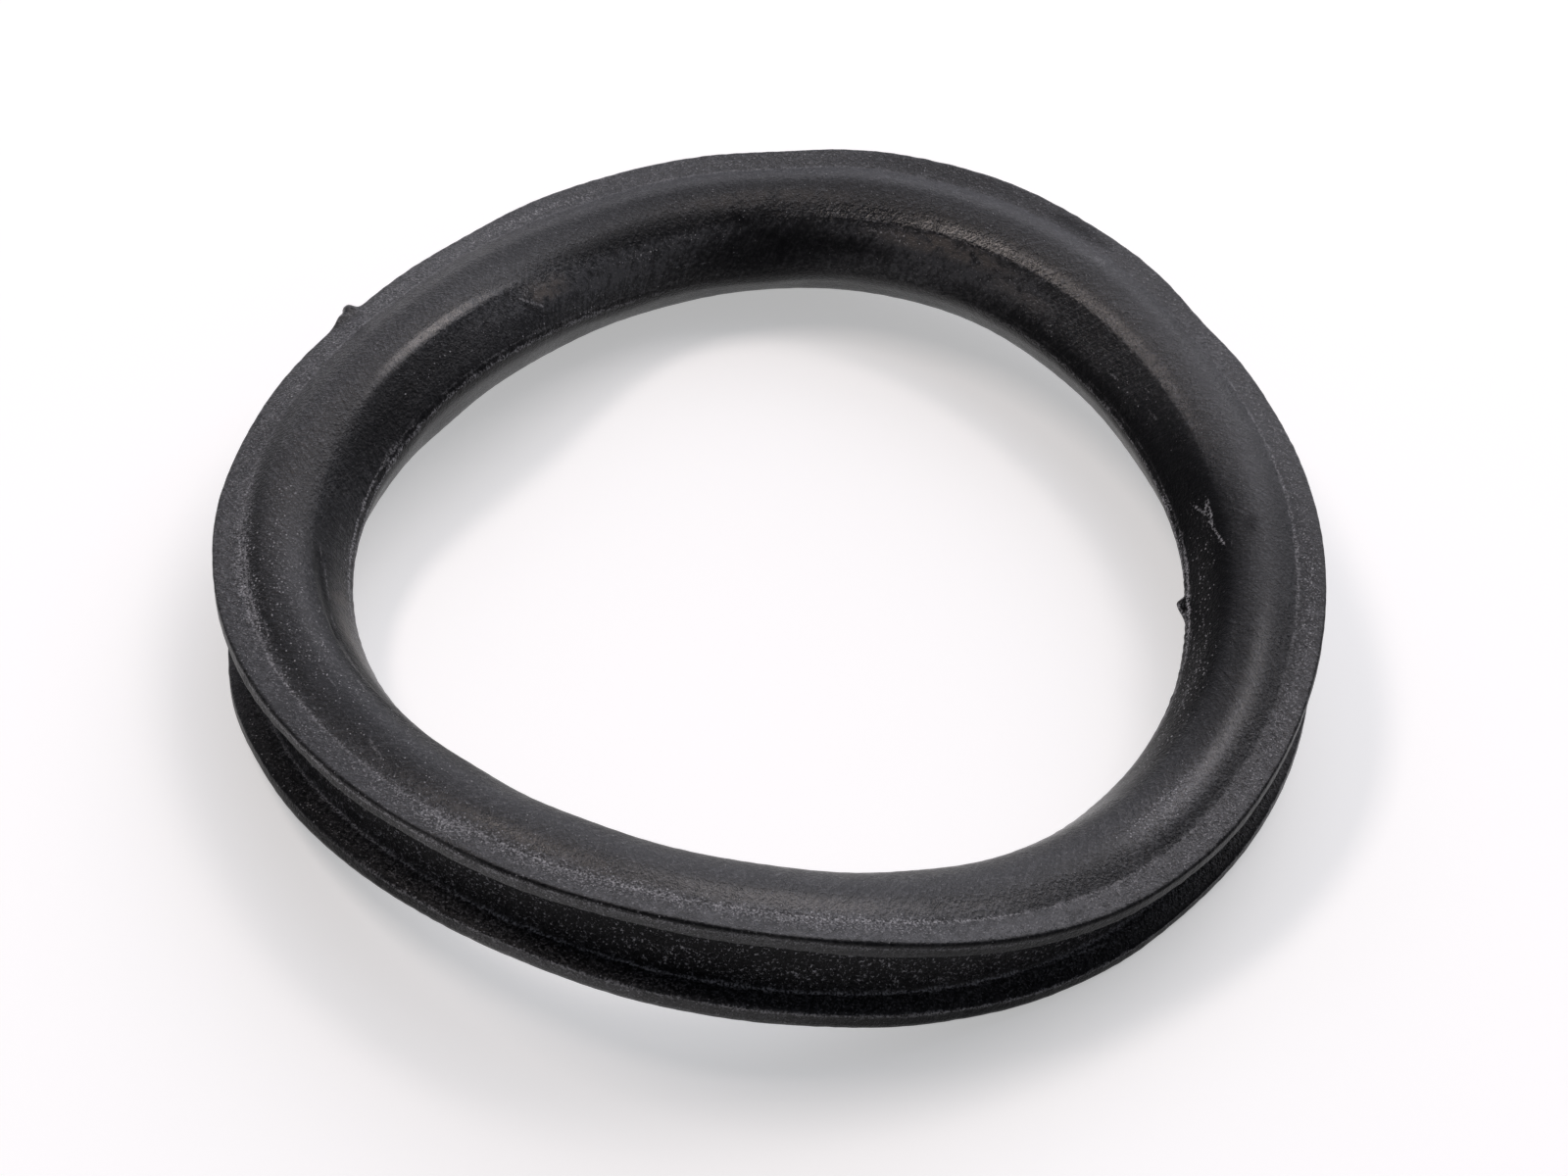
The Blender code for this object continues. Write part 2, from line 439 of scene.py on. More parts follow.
# unevenness of the moulding, in millimetres out of the rubber
moulding = {
    # ripples: height, seed, fewest and most waves round the ring, shortest and longest along the section,
    # how many
    "swell": (0.020, 3, (3, 26), (4.0, 16.0), 40),
    "swellFine": (0.0035, 5, (60, 200), (1.2, 6.0), 40),
    "ragged": (0.007, 7, (15, 230), (0.6, 5.0), 60),
    # the ragged edges' places across and reach, and the patches where they are more ragged
    "edges": (1.5, 2.5, 10.1, 11.1, -7.3),
    "edgeReach": 0.22,
    "torn": ((3.0, -7.4, 15.0, 1.2, 4.0), (196.0, -7.4, 10.0, 1.0, 1.5)),
    "scratch": 0.02,       # the scratches' height
    "furrow": 0.06,        # the furrows' depth
    # low bumps and hollows: direction, place across, half width in degrees, half width across, height
    "bumps": (
        (76.0, -5.0, 10.0, 0.5, 0.03), (133.5, -5.1, 4.0, 0.6, 0.03), (205.0, -4.35, 14.0, 0.22, -0.07),
        (99.5, -5.0, 1.6, 0.9, -0.05), (327.0, -1.7, 7.0, 0.5, 0.02), (327.0, -0.6, 8.0, 0.35, -0.02),
        (242.5, 1.62, 4.0, 0.24, -0.09), (210.0, 1.9, 0.6, 0.2, -0.07), (234.0, 10.5, 0.7, 0.25, 0.06),
        (235.4, 10.5, 0.5, 0.3, 0.05),
    ),
    # creases: from and to direction, place across, change of slope and reach
    "creases": (
        (20.0, 95.0, -4.05, 0.26, 1.3), (138.0, 170.0, -4.20, 0.32, 1.2), (176.0, 222.0, -4.20, 0.22, 0.9),
    ),
    # trims of an edge: place across, reach, direction, half width in degrees, height; the four highest
    # are the two torn flaps
    "trims": (
        (1.6, 1.2, 75.0, 22.0, 0.09), (1.6, 1.2, 120.0, 12.0, 0.09), (1.6, 1.2, 165.0, 8.0, 0.08),
        (1.6, 1.2, 196.0, 7.0, -0.07), (10.6, 1.2, 230.0, 9.0, 0.10), (10.6, 1.2, 248.0, 6.0, -0.06),
        (10.6, 1.2, 263.0, 7.0, 0.08), (10.6, 1.2, 326.0, 9.0, -0.15), (-7.3, 1.2, 2.0, 8.0, 0.10),
        (-7.3, 1.2, 35.0, 14.0, -0.05), (-7.3, 1.2, 155.0, 28.0, 0.06), (-7.3, 1.2, 320.0, 9.0, -0.08),
        (-7.5, 0.28, 5.6, 1.0, 0.44), (-7.5, 0.28, 4.2, 1.1, 0.22), (1.6, 0.28, 154.6, 0.6, 0.50),
        (1.6, 0.28, 156.0, 1.4, 0.34), (-7.45, 0.16, 0.0, 400.0, 0.05),
    ),
}

# dust and wear, with painted shade and painted highlights
wear = {
    # thin lines of dust: place across, then (direction, half width in degrees, amount) along it
    "lines": (
        (0.0, (
            (15.0, 20.0, 0.5), (105.0, 20.0, 0.25), (150.0, 25.0, 0.3), (194.0, 12.0, 0.6),
            (215.0, 12.0, 0.4), (255.0, 22.0, 0.7), (285.0, 14.0, 0.8), (315.0, 25.0, 0.35),
        )),
        (1.85, ((222.0, 20.0, 0.8), (250.0, 20.0, 0.5), (285.0, 25.0, 0.35))),
        (8.55, ((225.0, 14.0, 0.9), (260.0, 25.0, 1.2), (300.0, 25.0, 1.0))),
        (10.08, ((245.0, 14.0, 0.7), (270.0, 14.0, 0.6), (300.0, 20.0, 0.5), (335.0, 20.0, 0.5))),
        (-7.05, ((5.0, 10.0, 1.3), (345.0, 9.0, 0.6), (187.0, 13.0, 1.0))),
        (-7.5, (
            (14.0, 14.0, 1.4), (40.0, 25.0, 0.45), (135.0, 20.0, 0.6), (178.0, 25.0, 0.8),
            (345.0, 12.0, 0.4),
        )),
    ),
    # strokes as points (direction, place across), half width and amount: pale scratches, and dark furrows
    "scratches": (
        (((10.5, -4.15), (13.0, -4.55), (15.5, -4.75), (17.5, -5.05), (20.0, -5.6)), 0.24, 0.9),
        (((14.5, -4.62), (19.0, -4.66)), 0.24, 0.75), (((15.5, -4.9), (17.6, -4.84)), 0.24, 0.75),
        (((191.0, -4.55), (194.0, -5.0), (198.0, -5.05), (206.0, -4.6), (215.0, -4.25)), 0.26, 0.5),
        (((135.5, -5.9), (137.5, -5.4), (139.0, -4.9)), 0.28, 0.6),
        (((226.0, -1.2), (229.0, -0.8)), 0.26, 0.5), (((45.0, -5.8), (48.0, -6.2)), 0.24, 0.5),
        (((36.0, -5.4), (41.0, -5.8)), 0.24, 0.5), (((311.0, 8.7), (316.0, 8.95)), 0.22, 0.9),
        (((294.0, 7.6), (295.5, 8.4)), 0.22, 0.9),
    ),
    "furrows": (
        (((96.0, -5.8), (99.0, -5.0), (103.0, -4.1)), 0.28, 0.9),
        (((193.0, -4.6), (199.0, -4.75), (207.0, -4.35)), 0.22, 0.9),
        (((136.0, -6.2), (138.3, -5.4), (140.5, -4.6)), 0.20, 0.8),
        (((64.0, -5.3), (70.0, -4.9)), 0.15, 0.5), (((84.0, -5.9), (88.0, -5.0)), 0.2, 0.5),
    ),
    "strokeReach": 9.0,    # how far from a stroke its sides are told apart
    # patches as (direction, place across, half width in degrees, half width across, amount)
    # one with a half width of 400 degrees goes all the way round
    "dust": (
        (8.0, -7.45, 22.0, 0.40, 1.2), (2.0, -5.9, 18.0, 1.2, 0.7), (15.5, -4.9, 4.5, 0.4, 0.4),
        (46.0, -5.9, 10.0, 0.4, 0.5), (30.0, -5.0, 16.0, 0.4, 0.25), (82.0, -4.8, 4.0, 0.5, 0.6),
        (117.0, -5.0, 4.0, 0.25, 0.8), (133.0, -7.1, 16.0, 0.4, 0.5), (137.5, -4.8, 3.0, 0.5, 0.5),
        (155.0, -5.8, 14.0, 0.5, 0.5), (196.0, -0.2, 15.0, 0.5, 1.3), (258.0, 0.0, 26.0, 0.6, 1.0),
        (284.0, 0.1, 12.0, 0.7, 0.8), (327.0, -1.8, 8.0, 0.8, 1.0), (340.0, 0.7, 34.0, 0.8, 0.45),
        (200.0, -2.5, 18.0, 1.8, 0.35), (128.0, 0.5, 10.0, 0.25, 0.8), (58.0, -0.8, 1.5, 0.3, 0.7),
        (8.0, 0.6, 24.0, 0.5, 0.35), (342.0, -5.6, 15.0, 1.8, 0.9), (58.0, -6.2, 0.9, 0.25, 1.3),
        (240.0, 0.5, 3.0, 0.6, 0.6), (160.0, 0.2, 20.0, 1.0, 0.4), (220.0, -1.5, 40.0, 3.0, 0.35),
        (252.0, 2.0, 36.0, 0.5, 0.7), (100.0, -2.0, 70.0, 3.0, 0.15), (300.0, -2.5, 40.0, 2.0, 0.15),
        (235.0, 10.0, 40.0, 1.2, 0.35), (215.0, 2.0, 20.0, 0.5, 0.5), (270.0, 9.4, 60.0, 1.0, 0.3),
        (66.0, -5.2, 4.0, 0.5, 0.4), (194.0, -6.9, 9.0, 0.6, 0.5), (108.0, -4.6, 8.0, 0.4, 0.35),
    ),
    # finer powder all the way round, on the land, the lip's edges and the lower lip's top
    "powder": (
        (0.0, 0.75, 400.0, 0.78, 0.7), (0.0, 2.0, 400.0, 0.45, 0.6), (0.0, 9.2, 400.0, 0.65, 0.6),
        (0.0, 10.6, 400.0, 0.5, 0.6), (0.0, -2.5, 400.0, 1.8, 0.2),
    ),
    # brown stains, and one painted highlight: the row at 270 degrees paints a warm highlight on the bead's
    # outer side
    "stain": (
        (76.0, -4.75, 9.0, 0.50, 1.0), (133.5, -5.1, 4.0, 0.62, 1.0), (203.0, -6.2, 8.0, 1.0, 0.5),
        (100.0, -2.8, 12.0, 0.5, 0.25), (270.0, -0.75, 34.0, 0.45, 0.12), (64.0, -5.6, 5.0, 0.4, 0.35),
    ),
    "scuff": (
        (43.0, -0.3, 5.0, 1.2, 0.5), (96.5, -0.6, 3.0, 0.6, 0.5), (155.0, -1.8, 16.0, 1.3, 0.35),
        (328.0, -1.7, 8.0, 0.8, 1.2), (196.0, -0.2, 15.0, 0.5, 1.3), (256.0, 0.1, 26.0, 0.5, 0.7),
        (284.0, 0.2, 13.0, 0.6, 0.8), (332.0, 0.7, 22.0, 0.8, 0.6), (140.0, -0.7, 30.0, 0.8, 0.3),
    ),
    # pale haze of dust, and painted highlights: the rows at 331 and 283 degrees by the land and at 152 and
    # 45 degrees on the brow paint warm highlights
    "hazeAndHighlight": (
        (176.0, 0.7, 42.0, 0.85, 0.50), (245.0, 10.6, 12.0, 0.5, 0.2), (325.0, 0.8, 34.0, 0.9, 0.80),
        (278.0, 0.8, 24.0, 0.8, 0.5), (334.0, 0.8, 30.0, 0.8, 0.5), (331.0, -1.75, 13.0, 0.5, 0.9),
        (72.0, -5.3, 13.0, 0.95, 1.3), (122.0, -5.4, 20.0, 0.9, 1.0), (108.0, -4.6, 10.0, 0.4, 0.5),
        (84.0, -6.6, 12.0, 0.6, 0.5), (84.0, -4.8, 9.0, 0.6, 0.8), (146.0, -5.0, 10.0, 0.6, 0.4),
        (283.0, -0.6, 17.0, 0.6, 0.9), (325.0, -0.8, 10.0, 0.5, 0.7), (40.0, 0.4, 5.0, 0.9, 0.3),
        (152.0, -4.0, 13.0, 0.4, 0.3), (45.0, -3.7, 14.0, 0.4, 0.2),
    ),
    # painted shade: patches where the rubber loses its pale haze and its reflection, so it shows darker
    # and matt; where they overlap, their sum is softened to 1 - e to the minus gain times the sum
    "paintedShade": (
        (12.5, -2.45, 1.6, 0.35, 0.5), (63.0, 0.7, 4.0, 0.5, 0.5), (75.0, 0.8, 16.0, 0.8, 0.35),
        (327.0, -0.5, 9.0, 0.3, 0.5), (4.0, -5.7, 32.0, 2.0, 2.2), (343.0, -5.6, 18.0, 1.8, 0.6),
        (130.0, -1.2, 34.0, 1.3, 0.20), (3.0, -0.2, 20.0, 1.7, 0.40), (212.0, -1.3, 24.0, 1.2, 0.45),
        (345.0, -2.8, 14.0, 0.9, 0.45), (40.0, -7.3, 30.0, 1.0, 1.3), (105.0, -2.3, 52.0, 1.0, 0.35),
        (280.0, 1.57, 92.0, 0.14, 1.0), (325.0, 2.1, 40.0, 0.6, 1.5), (214.0, 2.1, 24.0, 0.6, 1.2),
        (224.0, 10.6, 19.0, 0.9, 1.7), (318.0, 10.6, 36.0, 1.0, 2.0), (98.0, -5.9, 14.0, 1.2, 0.9),
        (160.0, -6.4, 24.0, 1.1, 0.6), (115.0, -3.8, 17.0, 0.6, 0.65), (255.0, -4.9, 66.0, 1.6, 1.1),
        (222.0, -5.0, 17.0, 1.2, 1.3), (95.0, -1.7, 50.0, 0.6, 0.2), (225.0, -1.7, 30.0, 0.9, 0.2),
        (195.0, -0.75, 22.0, 0.45, 0.4), (212.0, 0.8, 18.0, 0.8, 0.25), (8.0, -2.7, 20.0, 0.7, 0.3),
        (140.0, -7.9, 56.0, 0.8, 1.2), (165.0, -5.2, 20.0, 0.8, 0.5), (10.0, -3.6, 14.0, 0.9, 0.4),
        (245.0, 10.0, 16.0, 0.3, 0.4), (210.0, 9.4, 16.0, 0.8, 0.9),
    ),
    "paintedShadeGain": 1.3,
    # how much painted shade each furrow adds
    "furrowPaintedShade": 0.6,
    # rubbed smoother, so that the lamps show sharper there
    "polish": (
        (60.0, -3.65, 36.0, 0.5, 0.7), (80.0, -3.8, 14.0, 0.5, 0.4), (153.0, -3.95, 14.0, 0.38, 1.2),
        (270.0, -0.8, 36.0, 0.6, 0.8), (345.0, -1.7, 14.0, 0.5, 0.8), (328.0, -1.7, 9.0, 0.6, 0.7),
    ),
    # the groove's bottom is dusty and also gets painted shade
    "web": (6.5, 2.1),     # middle and reach of the groove's dusty bottom, across
}


def patches(rows, angle, across):
    # sum of flat bells of the distance from each patch's middle, measured in its half widths
    total = np.zeros(np.broadcast_shapes(angle.shape, across.shape))
    for direction, place, halfAngle, halfAcross, amount in rows:
        far = np.hypot(away(angle, direction) / halfAngle, (across - place) / halfAcross)
        total = total + amount * flatBell(far)
    return total


def strokes(rows, angle, across):
    # bell across each stroke, from the distance in millimetres to the nearest of its straight parts
    # the second result is the distance to the nearest stroke of all, minus on one side of it and plus on
    # the other
    total = np.zeros(np.broadcast_shapes(angle.shape, across.shape))
    side = np.full(total.shape, wear["strokeReach"])
    for points, half, amount in rows:
        nearest = np.full(total.shape, np.inf)
        for (direction, place), (toDirection, toPlace) in zip(points, points[1:]):
            run, rise = math.radians(toDirection - direction) * rollCentre, toPlace - place
            x, y = np.radians(away(angle, direction)) * rollCentre, across - place
            share = np.clip((x * run + y * rise) / (run * run + rise * rise), 0.0, 1.0)
            gap = np.hypot(x - share * run, y - share * rise)
            nearest = np.minimum(nearest, gap)
            side = np.where(gap < np.abs(side), np.copysign(gap, run * y - rise * x), side)
        total = total + amount * bell(nearest / half)
    return total, side


def ripples(row, angle, across):
    # sum of cosines that run round a whole number of times and along the section at random lengths,
    # scaled so that its spread is the height
    height, seed, counts, lengths, terms = row
    draw = np.random.default_rng(seed)
    total = np.zeros(np.broadcast_shapes(angle.shape, across.shape))
    for _ in range(terms):
        count = draw.integers(*counts)
        pitch = draw.choice((-1.0, 1.0)) * fullTurn / draw.uniform(*lengths)
        total = total + np.cos(count * angle + pitch * across + draw.uniform(0.0, fullTurn))
    return height * total * math.sqrt(2.0 / terms)


def unevenness(angle, across):
    # how far each place stands out from the true section: the sum of ripples, bumps, creases, trims and
    # strokes
    m = moulding
    out = ripples(m["swell"], angle, across) + ripples(m["swellFine"], angle, across)
    out = out + patches(m["bumps"], angle, across)
    for start, end, place, slope, reach in m["creases"]:
        # slope that starts at the crease and fades out within the reach below it
        inside = np.maximum((place - across) / reach, 0.0)
        middle, half = 0.5 * (start + end), 0.5 * (end - start)
        out = out - slope * reach * inside * bell(inside) * flatBell(away(angle, middle) / half)
    edge = sum(bell((across - place) / m["edgeReach"]) for place in m["edges"])
    out = out + edge * (1.0 + patches(m["torn"], angle, across)) * ripples(m["ragged"], angle, across)
    for place, reach, direction, half, height in m["trims"]:
        out = out + height * bell((across - place) / reach) * bell(away(angle, direction) / half)
    out = out + m["scratch"] * strokes(wear["scratches"], angle, across)[0]
    return out - m["furrow"] * strokes(wear["furrows"], angle, across)[0]


def lineDust(angle, across):
    # distance to the nearest dust line, and how much dust that line holds there: a sum of bells along it
    shape = np.broadcast_shapes(angle.shape, across.shape)
    gaps, amounts = [], []
    for place, row in wear["lines"]:
        amount = sum(level * bell(away(angle, direction) / half) for direction, half, level in row)
        gaps.append(np.broadcast_to(np.abs(across - place), shape))
        amounts.append(np.broadcast_to(amount, shape))
    nearest = np.argmin(gaps, axis=0)[None]
    return np.min(gaps, axis=0), np.take_along_axis(np.stack(amounts), nearest, axis=0)[0]


def gridMesh(name, points, floats, vectors):
    # closed surface over a grid that runs on from its last row and column to its first, faces outwards
    rows, columns = points.shape[:2]
    index = np.arange(rows * columns).reshape(rows, columns)
    below, beside = np.roll(index, -1, axis=0), np.roll(index, -1, axis=1)
    quads = np.stack([index, beside, np.roll(below, -1, axis=1), below], axis=-1).reshape(-1, 4)
    mesh = bpy.data.meshes.new(name)
    mesh.vertices.add(rows * columns)
    mesh.vertices.foreach_set("co", (points.reshape(-1, 3) * mm).astype(np.float32).ravel())
    mesh.loops.add(quads.size)
    mesh.loops.foreach_set("vertex_index", quads.ravel().astype(np.int32))
    mesh.polygons.add(len(quads))
    mesh.polygons.foreach_set("loop_start", np.arange(0, quads.size, 4, dtype=np.int32))
    mesh.update(calc_edges=True)
    mesh.validate()
    mesh.shade_smooth()
    for key, values in floats.items():
        full = np.broadcast_to(values, (rows, columns)).astype(np.float32)
        mesh.attributes.new(key, "FLOAT", "POINT").data.foreach_set("value", full.ravel())
    for key, values in vectors.items():
        full = values.astype(np.float32)
        mesh.attributes.new(key, "FLOAT_VECTOR", "POINT").data.foreach_set("vector", full.ravel())
    piece = bpy.data.objects.new(name, mesh)
    bpy.context.scene.collection.objects.link(piece)
    return piece


def makeRing():
    outline, across = sectionOutline()
    inset, height = outline.T
    angle = np.linspace(0.0, fullTurn, grid["around"], endpoint=False)[:, None]
    turn, shift = restingMove(bent(angle, section["lipRadius"] - inset, height).reshape(-1, 3))

    # the section's outward normal is its run turned by a right angle, so that it points up on the land
    run = np.roll(outline, -1, axis=0) - np.roll(outline, 1, axis=0)
    normal = np.stack([run[:, 1], -run[:, 0]], axis=1) / np.linalg.norm(run, axis=1)[:, None]
    normal *= np.sign(normal[np.abs(across - 0.5 * section["landWidth"]).argmin(), 1])
    out = unevenness(angle, across)
    radius = section["lipRadius"] - inset - out * normal[:, 0]
    points = bent(angle, radius, height + out * normal[:, 1]) @ turn.T - shift
    points[..., 2] = np.maximum(points[..., 2], 0.0)    # pressed flat where it stands on the floor

    # what the material reads: masks, and places on the true section in millimetres
    floats = {
        name: patches(wear[name], angle, across)
        for name in ("dust", "powder", "stain", "scuff", "hazeAndHighlight", "polish")
    }
    floats["lineGap"], floats["lineDust"] = lineDust(angle, across)
    floats["scratch"], floats["scratchSide"] = strokes(wear["scratches"], angle, across)
    # painted shade: the patches and the furrows, where the rubber is made darker and matt
    paintedShade = patches(wear["paintedShade"], angle, across)
    paintedShade = paintedShade + wear["furrowPaintedShade"] * strokes(wear["furrows"], angle, across)[0]
    floats["paintedShade"] = 1.0 - np.exp(-wear["paintedShadeGain"] * paintedShade)
    webMiddle, webReach = wear["web"]
    floats["web"] = flatBell((across - webMiddle) / webReach)
    floats["deep"] = height
    vectors = {
        "moulded": ringPoints(section["lipRadius"] - inset, angle, height),
        "unrolled": ringPoints(rollCentre, angle, inset),
        "slanted": ringPoints(rollCentre, angle - inset / rollCentre, inset),
    }
    ring = gridMesh("seal_rubber", points, floats, vectors)
    print("ring", len(ring.data.vertices), "points")
    return ring


rubber = {
    "colour": (0.0058, 0.0060, 0.0068, 1.0),
    "dustColour": (0.46, 0.46, 0.48, 1.0),
    # the stain colour is brown dirt and, at one place, a painted warm highlight; the haze colour is a pale
    # bloom and, at some places, painted highlights
    "stainColour": (0.100, 0.088, 0.079, 1.0),
    "hazeAndHighlightColour": (0.052, 0.053, 0.057, 1.0),
    "ior": 1.40,
    # noises on the moulded shape: waves to a millimetre, detail, its roughness
    "noises": {
        "mottle": (0.45, 4.0, 0.6),
        "clump": (1.3, 3.0, 0.65),
        "vein": (1.8, 3.0, 0.6),
        "fleck": (4.5, 2.0, 0.65),
        "grit": (8.0, 2.0, 0.7),
    },
    # noises on the unrolled ring, with waves to a millimetre along each axis
    # streaks run round the ring, ribs across it and slants between the two
    "streak": ((0.35, 0.35, 5.0), 3.0, 0.6),
    "rib": ((6.0, 6.0, 5.0), 2.0, 0.7),
    "slant": ((4.5, 4.5, 0.9), 2.0, 0.6),
    "depthWaves": 5.0,      # waves to a millimetre up the section, for streaks and ribs
    # steps of a pattern: low and high, then the results there where they aren't 0 and 1
    "lineWidth": (0.3, 0.75, 0.04, 0.34),
    "lineEdge": (1.0, 0.1),
    "lineBreaks": (0.42, 0.62),
    "scratchWidth": (0.38, 0.62, 0.12, -0.05),
    "scratchEdge": (0.10, 0.03),
    "scratchShows": (0.25, 0.70, 0.0, 0.55),
    "powderShows": (0.0, 0.10, 0.0, 0.36),
    "wispShows": (0.64, 0.80, 0.0, 0.30),
    "wispBreaks": (0.45, 0.6),
    "threadEdge": (0.022, 0.004),
    "threadBreaks": (0.50, 0.60),
    "ribShows": (0.585, 0.66),
    "scuffBreaks": (0.40, 0.62),
    "stainBreaks": (0.34, 0.60),
    "fleckHaze": (0.50, 0.70, 0.0, 0.8),
    "slantHaze": (0.50, 0.70, 0.0, 0.5),
    "mottleHaze": (0.35, 0.7, 0.0, 0.08),
    "patchClumps": (0.32, 0.62, 0.15, 1.3),
    "patchFlecks": (0.38, 0.62, 0.4, 1.5),
    "mottleRough": (0.3, 0.7, -0.03, 0.05),
    "speckSize": (0.0, 0.45, 0.0, 0.30),
    "speckEdge": (0.19, 0.09),
    # specks: cells to a millimetre, share of cells that hold one, how uneven they are, how much they hide
    "speckCells": 5.6,
    "speckShare": 0.20,
    "speckLumps": 0.30,
    "speckHides": 0.7,
    "powderLevel": 0.64,    # powder lies where the grit is above this
    "threadMiddle": 0.5,    # threads follow this value of the vein noise
    "scuffHaze": 0.7,
    # painted shade on the groove's bottom, in haze and in shine
    "webShadeHazeLoss": 0.95,        # how much of the haze the groove's bottom loses
    "webShadeShineLoss": 0.7,         # and of its shine
    "shine": 0.5,
    "roughness": 0.30,
    # what each pattern adds to a number above, at full strength
    "speckShareBy": {"dust": 0.42},
    "powderLevelBy": {"dust": -0.10, "paintedShade": 0.08, "powder": -0.10},
    "wispBy": {"dust": 0.10},
    "shineBy": {"polish": 0.25},
    "roughnessBy": {"cover": 0.35, "stain": 0.15, "polish": -0.08},
    # relief in micrometres: of the rubber, which polish takes away, and of what lies on it
    "rubberRelief": {"grit": 46.0, "fleck": 72.0, "slant": 34.0, "streak": 10.0, "scuff": 30.0},
    "reliefLeftBy": {"polish": -0.65},
    "dustRelief": {"webDust": 30.0, "cover": 25.0},
}


def step(tree, value, name):
    # ramp of the value, by a row of the rubber
    return ramp(tree, value, *rubber[name])


def stretched(tree, name, scale):
    # one of the ring's sets of places, with each axis multiplied by its scale
    node = add(tree, "VectorMath", operation="MULTIPLY")
    feed(tree, node.inputs[0], attribute(tree, name, "Vector"))
    node.inputs[1].default_value = scale
    return node.outputs[0]


def specks(tree, vector, some):
    # small lumps in the cells of a Voronoi pattern; a cell holds one when its random number is above
    # 1 minus the share
    node = add(tree, "TexVoronoi")
    feed(tree, node.inputs["Vector"], vector)
    node.inputs["Scale"].default_value = rubber["speckCells"]
    split = add(tree, "SeparateColor")
    tree.links.new(node.outputs["Color"], split.inputs[0])
    chance = maths(tree, "SUBTRACT", split.outputs[0], maths(tree, "SUBTRACT", 1.0, some))
    lump = noise(tree, vector, 4.0 * rubber["speckCells"], 1.0, 0.5)
    reach = maths(tree, "ADD", node.outputs["Distance"], times(tree, lump, rubber["speckLumps"]))
    return step(tree, maths(tree, "SUBTRACT", reach, step(tree, chance, "speckSize")), "speckEdge")


def rubberPatterns(tree):
    # the ring's masks and the noises, by name
    masks = ("dust", "powder", "stain", "scuff", "hazeAndHighlight", "paintedShade", "polish", "web")
    lines = ("lineGap", "lineDust", "scratch", "scratchSide")
    p = {name: attribute(tree, name) for name in masks + lines}
    p["place"] = attribute(tree, "moulded", "Vector")
    for name, row in rubber["noises"].items():
        p[name] = noise(tree, p["place"], *row)
    depth = times(tree, attribute(tree, "deep"), rubber["depthWaves"])
    rows = (("streak", "unrolled", depth), ("rib", "unrolled", depth), ("slant", "slanted", None))
    for name, source, fourth in rows:
        scale, detail, roughness = rubber[name]
        p[name] = noise(tree, stretched(tree, source, scale), 1.0, detail, roughness, fourth)
    return p


def dustCover(tree, p):
    # dust lines: full at the line, gone at a width that wanders, broken up by grit
    reach = maths(tree, "DIVIDE", p["lineGap"], step(tree, p["clump"], "lineWidth"))
    line = times(tree, step(tree, reach, "lineEdge"), p["lineDust"])
    line = times(tree, line, step(tree, p["grit"], "lineBreaks"))
    # a scratch is pale within a width that wanders to each side of its line
    beside = maths(tree, "ABSOLUTE", p["scratchSide"])
    scratch = step(tree, maths(tree, "ADD", beside, step(tree, p["grit"], "scratchWidth")), "scratchEdge")
    scratch = times(tree, scratch, step(tree, p["scratch"], "scratchShows"))
    # powder: the more dust, the lower the grit has to be to show; specks lie everywhere
    level = plus(tree, rubber["powderLevel"], p, rubber["powderLevelBy"])
    powder = step(tree, maths(tree, "SUBTRACT", p["grit"], level), "powderShows")
    some = plus(tree, rubber["speckShare"], p, rubber["speckShareBy"])
    spots = times(tree, specks(tree, p["place"], some), rubber["speckHides"])
    wisps = step(tree, plus(tree, p["streak"], p, rubber["wispBy"]), "wispShows")
    wisps = times(tree, wisps, step(tree, p["fleck"], "wispBreaks"))
    # the groove's bottom: dust on the ribs, and threads that are broken where the fleck is low
    vein = maths(tree, "ABSOLUTE", maths(tree, "SUBTRACT", p["vein"], rubber["threadMiddle"]))
    thread = times(tree, step(tree, vein, "threadEdge"), step(tree, p["fleck"], "threadBreaks"))
    webDust = times(tree, most(tree, step(tree, p["rib"], "ribShows"), thread), p["web"])
    cover = maths(tree, "MAXIMUM", most(tree, line, powder, spots, wisps, webDust), scratch, True)
    return cover, webDust


def hazeAndHighlightShare(tree, p, scuff):
    # pale bloom and painted highlights: a faint mottle, scuffs, hazy patches, some of them painted
    # highlights, and grain, but none in the painted-shade patches or on the groove's bottom, where shade
    # is painted
    scuffed = times(tree, scuff, rubber["scuffHaze"])
    hazeAndHighlight = maths(tree, "ADD", step(tree, p["mottle"], "mottleHaze"), scuffed)
    patch = times(tree, p["hazeAndHighlight"], step(tree, p["clump"], "patchClumps"))
    hazeAndHighlight = maths(tree, "ADD", hazeAndHighlight, times(tree, patch, step(tree, p["fleck"], "patchFlecks")))
    grain = maths(tree, "ADD", step(tree, p["fleck"], "fleckHaze"), step(tree, p["slant"], "slantHaze"))
    hazeAndHighlight = maths(tree, "ADD", hazeAndHighlight, grain)
    hiddenByShade = most(tree, p["paintedShade"], times(tree, p["web"], rubber["webShadeHazeLoss"]))
    return maths(tree, "MULTIPLY", hazeAndHighlight, maths(tree, "SUBTRACT", 1.0, hiddenByShade, True), True)


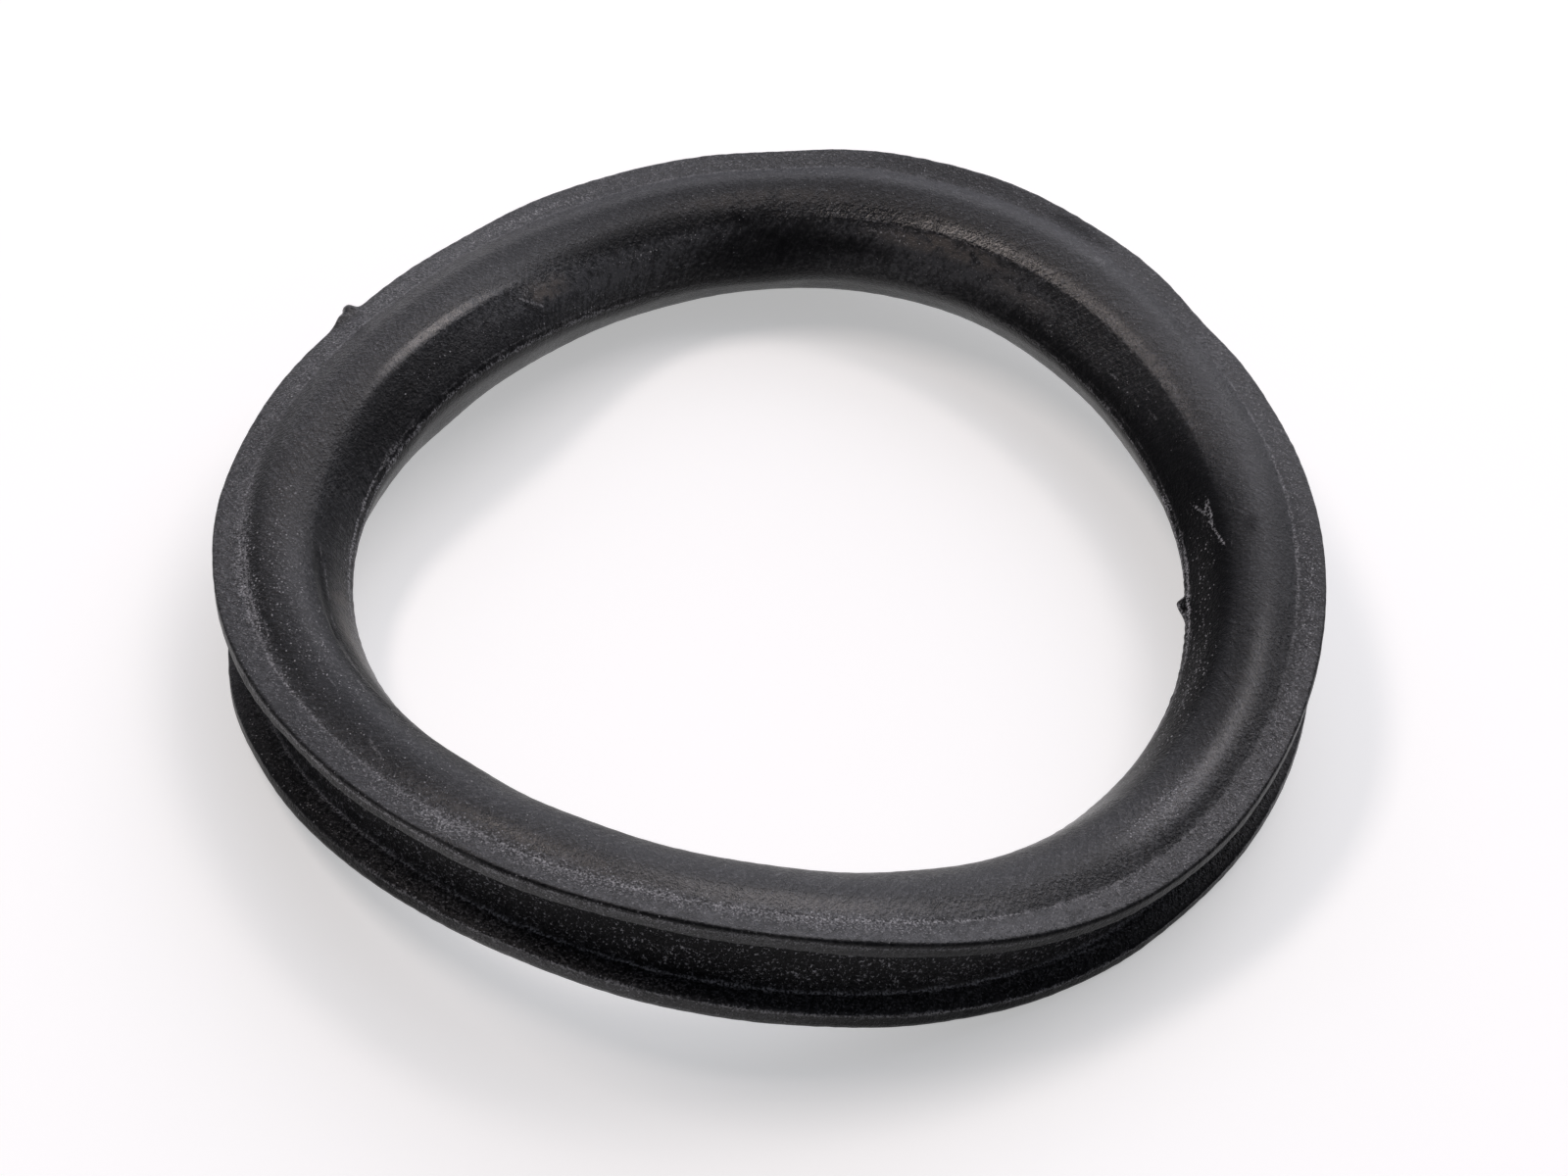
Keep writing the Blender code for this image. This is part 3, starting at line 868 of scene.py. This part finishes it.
def makeRubber():
    material = bpy.data.materials.new("blackRubber")
    material.use_nodes = True
    tree = material.node_tree
    shader = tree.nodes["Principled BSDF"]
    shader.inputs["IOR"].default_value = rubber["ior"]
    p = rubberPatterns(tree)
    cover, webDust = dustCover(tree, p)
    scuff = times(tree, p["scuff"], step(tree, p["fleck"], "scuffBreaks"))
    stain = maths(tree, "MULTIPLY", p["stain"], step(tree, p["clump"], "stainBreaks"), True)
    hazeAndHighlight = hazeAndHighlightShare(tree, p, scuff)
    p.update(cover=cover, webDust=webDust, scuff=scuff, stain=stain)    # the broken-up masks from here on

    # the haze and stain blends also paint highlights at some places
    colour = blend(tree, hazeAndHighlight, rubber["colour"], rubber["hazeAndHighlightColour"])
    colour = blend(tree, stain, colour, rubber["stainColour"])
    colour = blend(tree, cover, colour, rubber["dustColour"])
    feed(tree, shader.inputs["Base Color"], colour)

    # painted shade: the painted-shade patches and the groove's bottom reflect less; polished ones shine
    # more
    shadeDull = maths(tree, "MAXIMUM", p["paintedShade"], times(tree, p["web"], rubber["webShadeShineLoss"]), True)
    shine = plus(tree, rubber["shine"], p, rubber["shineBy"])
    shine = times(tree, shine, maths(tree, "SUBTRACT", 1.0, shadeDull, True))
    feed(tree, shader.inputs["Specular IOR Level"], shine)

    rough = maths(tree, "ADD", rubber["roughness"], step(tree, p["mottle"], "mottleRough"))
    rough = plus(tree, rough, p, rubber["roughnessBy"])
    feed(tree, shader.inputs["Roughness"], maths(tree, "ADD", rough, 0.0, True))

    relief = plus(tree, 0.0, p, rubber["rubberRelief"])
    relief = times(tree, relief, plus(tree, 1.0, p, rubber["reliefLeftBy"]))
    relief = plus(tree, relief, p, rubber["dustRelief"])
    bump = add(tree, "Bump")
    bump.inputs["Distance"].default_value = 0.001 * mm    # one micrometre
    feed(tree, bump.inputs["Height"], relief)
    feed(tree, shader.inputs["Normal"], bump.outputs["Normal"])
    print("rubber", len(tree.nodes), "nodes")
    return material


makeCamera()
makeLamps()
makeWorld()
makeFloor()
print("stage set")

ring = makeRing()
ring.data.materials.append(makeRubber())
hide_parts("seal_ring")
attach(ring, "root")

bpy.context.scene.view_settings.view_transform = "Standard"
